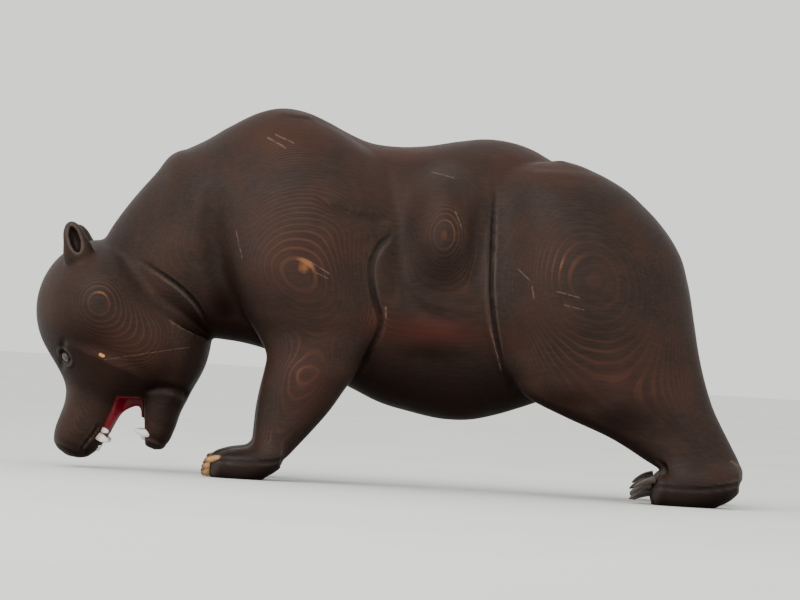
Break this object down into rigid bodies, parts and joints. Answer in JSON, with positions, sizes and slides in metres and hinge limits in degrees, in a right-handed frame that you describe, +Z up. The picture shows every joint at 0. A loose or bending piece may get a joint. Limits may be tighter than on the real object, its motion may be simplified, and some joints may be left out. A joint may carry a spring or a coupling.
{
  "type": "bear figurine",
  "caption": "Smooth carved wooden bear standing with lowered head and open mouth, with inset teeth, claws and eyes; rests on its flat soles.",
  "frame": {"origin": "middle of the bounding box at the level of the soles", "axes": "+Z up, the bear faces -Y, its left flank is at +X, the long axis is Y"},
  "size_m": [0.1244, 0.387, 0.2018],
  "materials": {
    "stained_wood": "satin",
    "eye_glass": "gloss",
    "tooth_white": "satin",
    "claw_amber": "satin",
    "claw_dark": "satin"
  },
  "bodies": {
    "root": {"carved_body": "stained_wood", "eye_left": "eye_glass", "eye_right": "eye_glass", "upper_canine_left": "tooth_white", "upper_canine_right": "tooth_white", "upper_incisors": "tooth_white", "lower_canine_left": "tooth_white", "lower_canine_right": "tooth_white", "lower_incisors": "tooth_white", "claws_fore_left": "claw_amber", "claws_fore_right": "claw_amber", "claws_hind_left": "claw_dark", "claws_hind_right": "claw_dark"}
  },
  "joints": []
}
